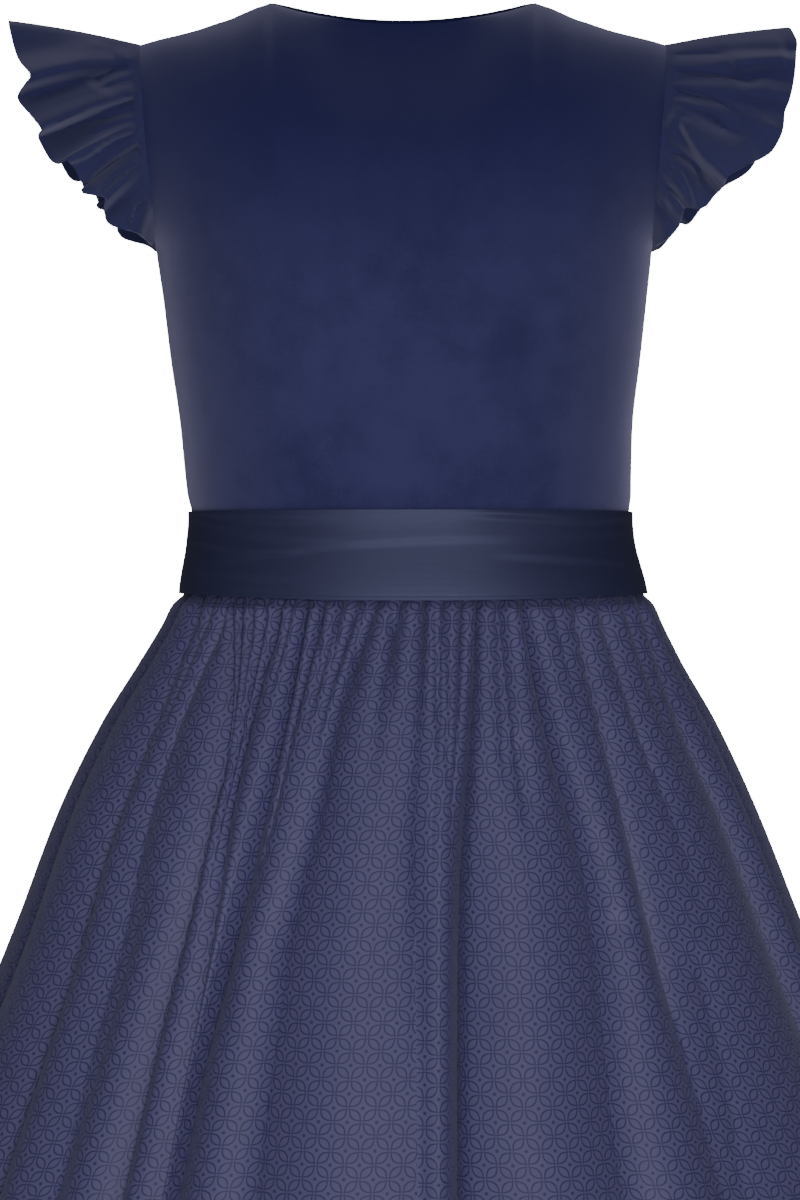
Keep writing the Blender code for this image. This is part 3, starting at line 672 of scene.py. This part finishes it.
def skirt_row(half, place, z, out):
    down = (SKIRT[0].z - z) / (SKIRT[0].z - SKIRT[-1].z)
    angle, _ = skirt_angles(place, z)
    section = read(SKIRT, z)
    depth = section.back if half > 0 else section.front
    x, y = half * section.half_width * np.sin(angle), depth * np.abs(np.cos(angle))
    arc = np.hypot(section.half_width * np.cos(angle), depth * np.sin(angle))
    inward = fold_depth(place, z, arc)
    if half > 0:
        inward = inward + loose_creases(section.lean + x, np.full_like(x, z))
    scale = 1 + (out - inward) / np.hypot(x, y)
    rise = waist_rise(angle) * (1 - down)
    return points(section.lean + x * scale, half * apart(y * scale), z + rise)


def skirt_heights(top, bottom):
    """Rows closer together under the waist than at the hem."""
    share = np.linspace(0, 1, SKIRT_ROWS + 1)
    return mix(top, bottom, 0.55 * share**1.8 + 0.45 * share)


def skirt_cloth(half, outs, first, last, top, bottom):
    """Outer and inner grid between two places, and the pattern's coordinates at the corners of each face.
    Between two long folds the pattern follows the cloth's true width from the panel's middle, and it jumps
    only in the folds, where the missing cloth is tucked away."""
    steps = round((last - first) * COLUMNS_PER_GATHER)
    place = np.linspace(first, last, steps + 1)
    heights = skirt_heights(top, bottom)
    grids = [np.array([skirt_row(half, place, z, out) for z in heights]) for out in outs]
    outer = grids[0]
    step = np.linalg.norm(np.diff(outer, axis=1), axis=2)
    wide = np.concatenate([np.zeros((len(heights), 1)), np.cumsum(step, axis=1)], axis=1)
    down = np.linalg.norm(np.diff(outer, axis=0), axis=2)
    long = np.concatenate([np.zeros((1, len(place))), np.cumsum(down, axis=0)], axis=0)

    along = np.interp(place, VALLEY_PLACES, VALLEY_ALONG)
    panel = np.floor((along[1:] + along[:-1]) / 2)
    middle = np.array([np.argmin(np.abs(along - (number + 0.5))) for number in panel])
    base = wide[-1, middle] - wide[:, middle]
    u = np.stack([base + wide[:, :-1], base + wide[:, 1:]], axis=2)
    v = np.repeat(long[:, middle][:, :, None], 2, axis=2)
    uv = np.stack([u, v], axis=-1)
    corners = np.stack([uv[:-1, :, 0], uv[:-1, :, 1], uv[1:, :, 1], uv[1:, :, 0]], axis=2)
    return grids, corners


# ---------------------------------------------------------------- sleeves


def marked(x, z, marks, edge, ends):
    """How far the marks make the cloth stand out, at places across and up. edge is the width over which a
    mark changes from its upper to its lower side, and ends the length over which it runs out."""
    total = np.zeros_like(x)
    for mark in marks:
        across, up = curved(mark.path)
        nearest = np.full(x.shape, 1.0)
        over = np.zeros_like(x)
        run = np.zeros_like(x)
        gone = 0.0
        for x0, z0, x1, z1 in zip(across, up, across[1:], up[1:]):
            length = math.hypot(x1 - x0, z1 - z0)
            way_x, way_z = (x1 - x0) / length, (z1 - z0) / length
            along = np.clip((x - x0) * way_x + (z - z0) * way_z, 0, length)
            off_x, off_z = x - x0 - along * way_x, z - z0 - along * way_z
            away = np.hypot(off_x, off_z)
            side = math.copysign(1, way_x) * (off_z * way_x - off_x * way_z)
            closer = away < nearest
            nearest, over = np.where(closer, away, nearest), np.where(closer, side, over)
            run = np.where(closer, gone + along, run)
            gone += length
        fade = smooth(run / ends + 0.1) * smooth((gone - run) / ends)
        upper, lower = (
            height * np.exp(-((nearest / reach) ** (2.0 if height > 0 else 1.2)))
            for height, reach in ((mark.upper, mark.above), (mark.lower, mark.below))
        )
        total += fade * mix(lower, upper, smooth(over / edge + 0.5))
    return total


def sleeve_middle(ribs, side, marks):
    """Grid through the middle of a sleeve's cloth, from the back underarm by the shoulder to the front."""
    places = np.linspace(-1, 1, 2 * SLEEVE_HALF_COLUMNS + 1)
    share = np.linspace(0, 1, SLEEVE_ROWS + 1)
    grid = np.zeros((len(share), len(places), 3))
    for column, along in enumerate(places):
        face = -1 if along > 0 else 1
        seam = abs(along) * ribs[-1].seam
        rib = read(ribs, seam)
        x, y, z = bodice_row(face, np.array([float(side)]), 2 - seam, 0)[0]
        y = face * (abs(y) - SEAM / 2)
        wide = 1 if face > 0 else mix(1, FRONT_SHARE, float(smooth(seam / FRONT_FADE)))
        ripple = 1 - abs(math.sin(math.pi * SLEEVE_GATHERS * abs(along)))
        gathered = smooth(share / SLEEVE_GATHER_START) * (1 - smooth(share / SLEEVE_GATHER_REACH))
        height = rib.stand * np.sin(share * math.pi / 2) - SLEEVE_GATHER_DEPTH * ripple * gathered
        out = mix(-SLEEVE_TUCK, rib.out * wide, share)
        up = rib.up * share + 4 * RIB_BOW * share * (1 - share)
        grid[:, column] = points(x + side * out, y + face * height, z + up)
    back = smooth(-places / MARK_BACK)
    seam_held = smooth(share / MARK_SEAM)
    creases = marked(grid[..., 0], grid[..., 2], marks, SLEEVE_MARK_EDGE, SLEEVE_MARK_ENDS)
    grid[..., 1] += creases * back[None, :] * seam_held[:, None]
    return grid


def thickened(middle, thickness):
    """Two grids, half the thickness off each side of a grid, square to it."""
    down = np.empty_like(middle)
    down[1:-1] = middle[2:] - middle[:-2]
    down[0], down[-1] = middle[1] - middle[0], middle[-1] - middle[-2]
    across = np.empty_like(middle)
    across[:, 1:-1] = middle[:, 2:] - middle[:, :-2]
    across[:, 0], across[:, -1] = middle[:, 1] - middle[:, 0], middle[:, -1] - middle[:, -2]
    normal = np.cross(across, down)
    normal[0, :, 0] = 0
    normal /= np.linalg.norm(normal, axis=2, keepdims=True)
    return middle + normal * thickness / 2, middle - normal * thickness / 2


# ---------------------------------------------------------------- meshes


def add_object(name, verts, faces, material, uvs=None):
    mesh = bpy.data.meshes.new(name)
    mesh.from_pydata(verts.tolist(), [], faces.tolist() if hasattr(faces, "tolist") else faces)
    if uvs is not None:
        layer = mesh.uv_layers.new(name="cloth")
        layer.data.foreach_set("uv", np.asarray(uvs, np.float32).ravel())
    mesh.materials.append(material)
    mesh.shade_smooth()
    mesh.set_sharp_from_angle(angle=math.radians(SHARP_ANGLE))
    piece = bpy.data.objects.new(name, mesh)
    bpy.context.scene.collection.objects.link(piece)
    return piece


def lengths(grid):
    """The cloth's own coordinates over a grid: true width from its middle column, true length down."""
    wide = np.cumsum(np.linalg.norm(np.diff(grid, axis=1), axis=2), axis=1)
    wide = np.concatenate([np.zeros((len(grid), 1)), wide], axis=1)
    wide -= wide[:, grid.shape[1] // 2][:, None]
    long = np.cumsum(np.linalg.norm(np.diff(grid, axis=0), axis=2), axis=0)
    long = np.concatenate([np.zeros((1, grid.shape[1])), long], axis=0)
    uv = np.stack([wide, long], axis=-1)
    return np.stack([uv[:-1, :-1], uv[:-1, 1:], uv[1:, 1:], uv[1:, :-1]], axis=2)


def wall(name, outer, inner, material, corners=None):
    """Closed wall between two grids of points, with a rim round its four edges."""
    rows, columns = outer.shape[:2]
    if corners is None:
        corners = lengths(outer)
    index = np.arange(rows * columns).reshape(rows, columns)
    quads = np.stack([index[:-1, :-1], index[:-1, 1:], index[1:, 1:], index[1:, :-1]], axis=2).reshape(-1, 4)
    quad_uvs = corners.reshape(-1, 4, 2)
    under = rows * columns
    verts = np.concatenate([outer.reshape(-1, 3), inner.reshape(-1, 3)])

    grid_uv = np.zeros((rows, columns, 2))
    grid_uv[:-1, :-1], grid_uv[:-1, -1] = corners[:, :, 0], corners[:, -1, 1]
    grid_uv[-1, :-1], grid_uv[-1, -1] = corners[-1, :, 3], corners[-1, -1, 2]
    flat_uv = grid_uv.reshape(-1, 2)
    edge = np.concatenate([index[0], index[1:, -1], index[-1, -2::-1], index[-2:0:-1, 0]])
    following = np.roll(edge, -1)
    rim = np.stack([following, edge, under + edge, under + following], axis=1)
    rim_uvs = np.stack([flat_uv[following], flat_uv[edge], flat_uv[edge], flat_uv[following]], axis=1)

    faces = np.concatenate([quads, under + quads[:, ::-1], rim])
    uvs = np.concatenate([quad_uvs, quad_uvs[:, ::-1], rim_uvs])
    a, b, c, d = (verts[faces[:, i]] for i in range(4))
    volume = np.sum(a * np.cross(b, c)) + np.sum(a * np.cross(c, d))
    if volume < 0:
        faces, uvs = faces[:, ::-1], uvs[:, ::-1]
    return add_object(name, verts, faces, material, uvs)


def tube(name, rings, material):
    count, sides = rings.shape[:2]
    index = np.arange(count * sides).reshape(count, sides)
    following = np.roll(index, -1, axis=1)
    quads = np.stack([following[:-1], index[:-1], index[1:], following[1:]], axis=2).reshape(-1, 4)
    verts = rings.reshape(-1, 3)
    a, b, c, d = (verts[quads[:, i]] for i in range(4))
    volume = np.sum(a * np.cross(b, c)) + np.sum(a * np.cross(c, d))
    faces = quads.tolist() + [index[0].tolist(), index[-1][::-1].tolist()]
    if volume < 0:
        faces = [face[::-1] for face in faces]
    return add_object(name, verts, faces, material)


# ---------------------------------------------------------------- materials


class Cloth:
    """A material and short ways to add its nodes."""

    def __init__(self, name):
        self.material = bpy.data.materials.new(name)
        self.material.use_nodes = True
        self.tree = self.material.node_tree
        self.shader = self.tree.nodes["Principled BSDF"]
        self.shader.inputs["Metallic"].default_value = 0

    def node(self, kind, inputs=(), **settings):
        made = self.tree.nodes.new(kind)
        for key, value in settings.items():
            setattr(made, key, value)
        for key, value in dict(inputs).items():
            self.put(made.inputs[key], value)
        return made

    def put(self, socket, value):
        if isinstance(value, bpy.types.NodeSocket):
            self.tree.links.new(value, socket)
        else:
            socket.default_value = value

    def math(self, operation, a, b=0.0, c=0.0):
        return self.node("ShaderNodeMath", {0: a, 1: b, 2: c}, operation=operation).outputs[0]

    def noise(self, vector, scale, detail=3.0, rough=0.5):
        values = {"Vector": vector, "Scale": scale, "Detail": detail, "Roughness": rough}
        return self.node("ShaderNodeTexNoise", values).outputs["Fac"]

    def ramp(self, value, low, high, out_low=0.0, out_high=1.0):
        values = {"Value": value, "From Min": low, "From Max": high, "To Min": out_low, "To Max": out_high}
        node = self.node("ShaderNodeMapRange", values, interpolation_type="SMOOTHSTEP")
        return node.outputs["Result"]

    def blend(self, share, a, b):
        made = self.node("ShaderNodeMix", data_type="RGBA")
        self.put(made.inputs["Factor"], share)
        for socket, value in zip((made.inputs[6], made.inputs[7]), (a, b)):
            self.put(socket, value)
        return made.outputs[2]

    def place(self):
        return self.node("ShaderNodeTexCoord").outputs["Object"]

    def cloth_uv(self):
        uv = self.node("ShaderNodeUVMap", uv_map="cloth").outputs["UV"]
        parts = self.node("ShaderNodeSeparateXYZ", {"Vector": uv})
        return uv, parts.outputs["X"], parts.outputs["Y"]

    def relief(self, height, distance, strength=1.0):
        values = {"Height": height, "Distance": distance, "Strength": strength}
        self.put(self.shader.inputs["Normal"], self.node("ShaderNodeBump", values).outputs["Normal"])

    def set(self, **values):
        for key, value in values.items():
            self.put(self.shader.inputs[key.replace("_", " ")], value)


def velvet_material(name, dark, light, top, sheen):
    """Short pile: soft patches where the nap lies differently, a fine grain, painted shade near the shoulders
    and a pale bloom at the edges.
    """
    cloth = Cloth(name)
    dark, light, top = ((*color, 1) for color in (dark, light, top))
    place = cloth.place()
    patches = cloth.noise(place, 14.0, 4.0, 0.55)
    small = cloth.noise(place, 70.0, 3.0, 0.6)
    grain = cloth.noise(place, 900.0, 1.0, 0.5)
    share = cloth.math("MULTIPLY_ADD", small, 0.35, cloth.math("MULTIPLY", patches, 0.65))
    share = cloth.math("MULTIPLY_ADD", grain, 0.18, cloth.math("MULTIPLY", share, 0.9))
    color = cloth.blend(cloth.ramp(share, 0.36, 0.68), dark, light)
    height = cloth.node("ShaderNodeSeparateXYZ", {"Vector": place}).outputs["Z"]
    uneven = cloth.math("MULTIPLY_ADD", patches, 0.05, height)
    # painted shade: the colour darkens to the top colour towards the shoulders
    painted_top_shade = cloth.ramp(uneven, TOP_SHADE_FROM_Z, TOP_SHADE_FULL_Z)
    color = cloth.blend(painted_top_shade, color, top)
    cloth.set(Base_Color=color, Roughness=0.85, Specular_IOR_Level=0.10)
    cloth.set(Sheen_Weight=sheen, Sheen_Roughness=0.56, Sheen_Tint=(0.68, 0.67, 1.0, 1))
    cloth.relief(grain, 0.00022, 0.35)
    return cloth.material


def satin_material(name):
    """Smooth satin of fine ribs across the ribbon, that lie along its length."""
    cloth = Cloth(name)
    uv, _, v = cloth.cloth_uv()
    ribs = cloth.math("SINE", cloth.math("MULTIPLY", v, 2 * math.pi / SATIN_RIB))
    slubs = cloth.noise(uv, 260.0, 2.0, 0.5)
    height = cloth.math("MULTIPLY_ADD", slubs, 0.8, cloth.math("MULTIPLY", ribs, 0.35))
    color = cloth.blend(slubs, SATIN_DARK, SATIN_LIGHT)
    cloth.set(Base_Color=color, Roughness=0.56, Specular_IOR_Level=0.58, Specular_Tint=(0.62, 0.64, 1.0, 1))
    off_stitches = cloth.math("ABSOLUTE", cloth.math("SUBTRACT", v, STITCH_IN))
    stitches = cloth.ramp(off_stitches, 0.0, STITCH_HALF, -2.5, 0.0)
    cloth.relief(cloth.math("ADD", height, stitches), 0.00008, 0.4)
    return cloth.material


def jacquard_material(name):
    """Woven lattice: a small dot in every diamond and four outlined leaves round every crossing."""
    cloth = Cloth(name)
    uv, u, v = cloth.cloth_uv()
    slopes = []
    for operation in ("ADD", "SUBTRACT"):
        share = cloth.math("FRACT", cloth.math("DIVIDE", cloth.math(operation, u, v), REPEAT))
        slopes.append(cloth.math("SUBTRACT", share, 0.5))
    sloped = [cloth.math("ABSOLUTE", share) for share in slopes]
    leaves = []
    for across, along in (sloped, reversed(sloped)):
        tip = cloth.math("DIVIDE", cloth.math("SUBTRACT", 0.5, across), 0.38)
        half = cloth.math("DIVIDE", along, 0.197)
        leaves.append(cloth.math("MULTIPLY_ADD", tip, tip, half))
    leaf = cloth.math("MINIMUM", *leaves)
    off_line = cloth.math("ABSOLUTE", cloth.math("SUBTRACT", leaf, 1.0))
    line = cloth.ramp(off_line, 0.10, 0.32, 1.0, 0.0)
    straight = [cloth.math("ABSOLUTE", cloth.math(operation, *slopes)) for operation in ("ADD", "SUBTRACT")]
    for off, along in (straight, reversed(straight)):
        beside = cloth.math("ABSOLUTE", cloth.math("SUBTRACT", off, CHANNEL_HALF))
        sides = cloth.ramp(beside, 0.015, 0.055, 0.85, 0.0)
        bar = cloth.math("MULTIPLY", sides, cloth.ramp(along, 0.22, 0.32, 1.0, 0.0))
        line = cloth.math("MAXIMUM", line, bar)
    corner = [cloth.math("SUBTRACT", 0.5, share) for share in sloped]
    squares = [cloth.math("MULTIPLY", share, share) for share in corner]
    radius = cloth.math("SQRT", cloth.math("ADD", *squares))
    dot = cloth.ramp(radius, 0.05, 0.12, 1.0, 0.0)
    woven = cloth.math("MAXIMUM", line, dot)
    thread = cloth.noise(uv, 1400.0, 2.0, 0.5)
    tone = cloth.noise(uv, 45.0, 3.0, 0.55)
    ground = cloth.blend(tone, GROUND_DARK, GROUND_LIGHT)
    color = cloth.blend(woven, ground, FIGURE_BLUE)
    color = cloth.blend(cloth.math("MULTIPLY", thread, 0.25), color, THREAD_BLUE)
    rough = cloth.math("MULTIPLY_ADD", woven, -0.12, 0.62)
    cloth.set(Base_Color=color, Roughness=rough, Specular_IOR_Level=0.35)
    cloth.set(Sheen_Weight=0.10, Sheen_Roughness=0.5, Sheen_Tint=(0.6, 0.62, 0.85, 1))
    height = cloth.math("MULTIPLY_ADD", woven, -0.7, cloth.math("MULTIPLY", thread, 0.4))
    cloth.relief(height, 0.00012, 0.5)
    return cloth.material


def plain_material(name, white):
    cloth = Cloth(name)
    cloth.set(Base_Color=(white, white, white, 1), Roughness=0.9, Specular_IOR_Level=0.1)
    return cloth.material


# ---------------------------------------------------------------- scene


def add_stage():
    """White floor, and a lit white panel before the dress."""
    floor = [(FLOOR_X[i], FLOOR_Y[j], FLOOR_Z) for i, j in ((0, 0), (1, 0), (1, 1), (0, 1))]
    panel = [(PANEL_X[i], PANEL_Y, PANEL_Z[j]) for i, j in ((0, 0), (1, 0), (1, 1), (0, 1))]
    glow = plain_material("lit_panel", 0.9)
    shader = glow.node_tree.nodes["Principled BSDF"]
    shader.inputs["Emission Color"].default_value = (1, 1, 1, 1)
    shader.inputs["Emission Strength"].default_value = PANEL_STRENGTH
    paper = add_object("paper", np.array(floor), [(0, 1, 2, 3)], plain_material("paper", 0.92))
    add_object("panel", np.array(panel), [(0, 1, 2, 3)], glow)


def add_light(name, place, aim, size, power):
    light = bpy.data.lights.new(name, "AREA")
    light.shape = "RECTANGLE"
    light.size, light.size_y = size
    light.energy = power
    lamp = bpy.data.objects.new(name, light)
    lamp.location = place
    lamp.rotation_euler = (Vector(aim) - Vector(place)).to_track_quat("-Z", "Y").to_euler()
    bpy.context.scene.collection.objects.link(lamp)


def add_world():
    world = bpy.data.worlds.new("studio")
    world.use_nodes = True
    background = world.node_tree.nodes["Background"]
    background.inputs["Color"].default_value = (1, 1, 1, 1)
    background.inputs["Strength"].default_value = WORLD_STRENGTH
    bpy.context.scene.world = world


def add_camera():
    data = bpy.data.cameras.new("camera")
    data.sensor_fit = "VERTICAL"
    data.sensor_height = SENSOR
    data.lens = SENSOR * CAMERA[1] / SHOWN_HEIGHT
    camera = bpy.data.objects.new("camera", data)
    camera.location = CAMERA
    camera.rotation_euler = (math.pi / 2, 0, math.pi)
    bpy.context.scene.collection.objects.link(camera)
    bpy.context.scene.camera = camera


def dress(piece, node):
    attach(piece, "root")
    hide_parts(node)
    return piece


def main():
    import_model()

    velvet, pile, shaded_trim = (velvet_material(*row) for row in PILES)
    satin = satin_material("satin")
    jacquard = jacquard_material("jacquard")

    rolls = {}
    for name, face, first, last in (("back", 1, -90, 90), ("left", -1, 0, 90), ("right", -1, 0, -90)):
        rolls[name] = neck_binding(f"neck_roll_{name}", face, first, last, shaded_trim)
        dress(rolls[name], "neck_binding_back" if face > 0 else f"neck_binding_front_{name}")

    across = np.linspace(-1, 1, 2 * BODICE_HALF_COLUMNS + 1)
    back = dress(wall("back_panel", *bodice_grids(1, across), velvet), "bodice_back")
    for name, side in (("left", 1), ("right", -1)):
        half = np.linspace(0, side, BODICE_HALF_COLUMNS + 1)
        front = wall(f"front_panel_{name}", *bodice_grids(-1, half, side), velvet)
        dress(front, f"bodice_front_{name}")

    sleeves = (("left", SLEEVE_LEFT, 1, MARKS_LEFT), ("right", SLEEVE_RIGHT, -1, MARKS_RIGHT))
    for name, ribs, side, marks in sleeves:
        # the sleeves take the lighter copy of the velvet, painted light
        flutter = wall(f"flutter_{name}", *thickened(sleeve_middle(ribs, side, marks), SLEEVE_CLOTH), pile)
        dress(flutter, f"sleeve_{name}")

    for name, face in (("back", 1), ("front", -1)):
        ribbon = dress(wall(f"ribbon_{name}", *sash_grids(face), satin), f"sash_{name}")

    ends = (-0.5, len(VALLEYS) - 2.5)
    for name, half in (("back", 1), ("front", -1)):
        grids, corners = skirt_cloth(half, (0, -JACQUARD), *ends, SKIRT[0].z, SKIRT[-1].z)
        cloth = dress(wall(f"skirt_cloth_{name}", *grids, jacquard, corners), f"skirt_{name}")

    top = SASH_BOTTOM_Z - APRON_DROP
    outs = (APRON_CLEAR + SATIN, APRON_CLEAR)
    grids, corners = skirt_cloth(-1, outs, APRON_FIRST, APRON_LAST, top, APRON_HEM_Z)
    apron = dress(wall("apron_cloth", *grids, satin, corners), "apron")

    add_stage()
    for light in LIGHTS:
        add_light(*light)
    add_world()
    add_camera()


main()
